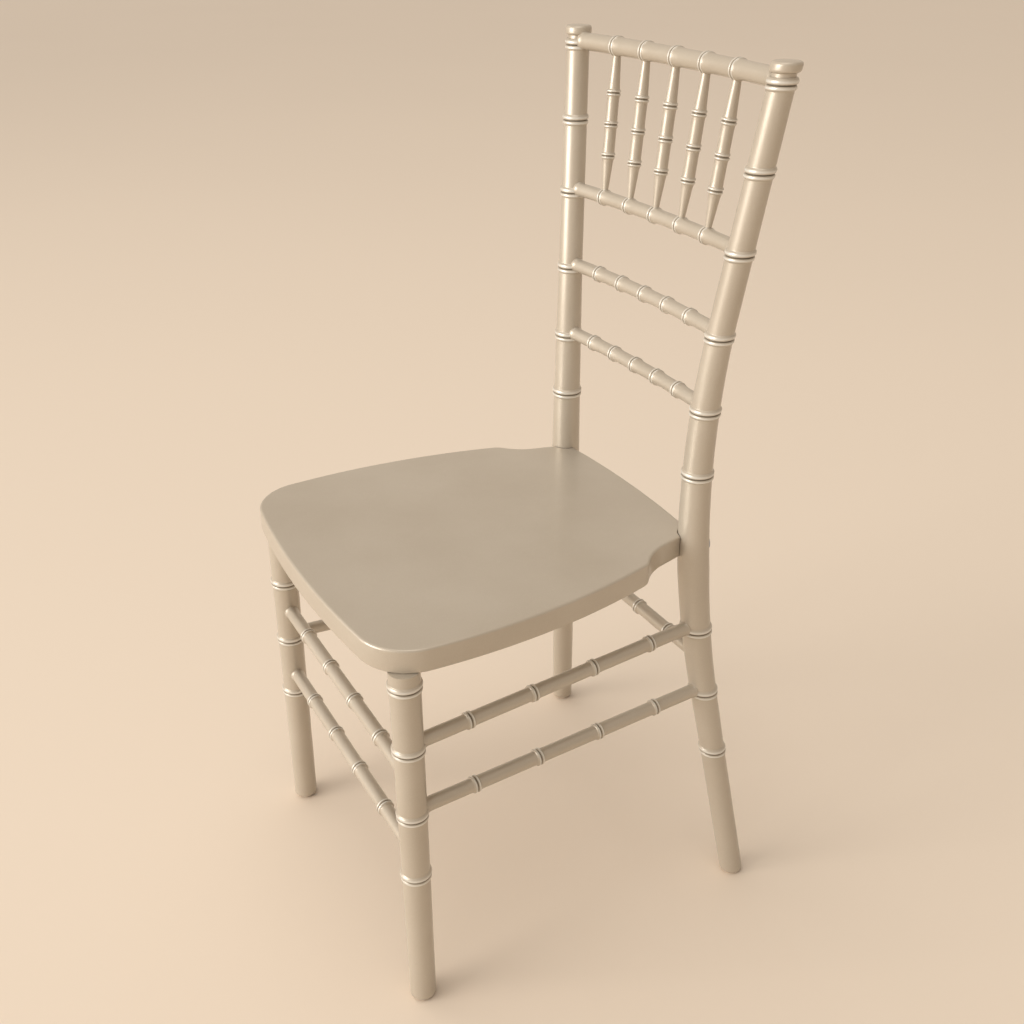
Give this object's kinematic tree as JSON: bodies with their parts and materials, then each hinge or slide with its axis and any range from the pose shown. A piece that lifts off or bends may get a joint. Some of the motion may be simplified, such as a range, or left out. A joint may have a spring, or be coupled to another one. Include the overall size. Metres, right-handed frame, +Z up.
{
  "type": "chiavari chair",
  "caption": "Bamboo-style dining chair with ringed round legs, a ladder back with short spindles, a flat shaped seat and ringed stretchers.",
  "frame": {"origin": "on the floor, under the middle of the chair's box", "axes": "+Z up, the front of the seat faces -Y, the back of the chair is towards +Y, and +X is the right-hand side seen from the front"},
  "size_m": [0.4166, 0.4511, 0.911],
  "materials": {
    "lacquered_wood": "metallic champagne silver lacquer, satin gloss",
    "zinc_steel": "zinc plated",
    "glide_plastic": "plain"
  },
  "bodies": {
    "root": {"cross_nut_left": "zinc_steel", "cross_nut_right": "zinc_steel", "fourth_rail": "lacquered_wood", "front_glide_left": "glide_plastic", "front_glide_right": "glide_plastic", "front_leg_left": "lacquered_wood", "front_leg_right": "lacquered_wood", "front_stretcher_lower": "lacquered_wood", "front_stretcher_upper": "lacquered_wood", "rear_glide_left": "glide_plastic", "rear_glide_right": "glide_plastic", "rear_post_left": "lacquered_wood", "rear_post_right": "lacquered_wood", "rear_stretcher": "lacquered_wood", "seat_board": "lacquered_wood", "seat_bolt_left": "zinc_steel", "seat_bolt_right": "zinc_steel", "second_rail": "lacquered_wood", "side_stretcher_lower_left": "lacquered_wood", "side_stretcher_lower_right": "lacquered_wood", "side_stretcher_upper_left": "lacquered_wood", "side_stretcher_upper_right": "lacquered_wood", "spindle_1": "lacquered_wood", "spindle_2": "lacquered_wood", "spindle_3": "lacquered_wood", "spindle_4": "lacquered_wood", "spindle_5": "lacquered_wood", "third_rail": "lacquered_wood", "top_rail": "lacquered_wood"}
  },
  "joints": []
}
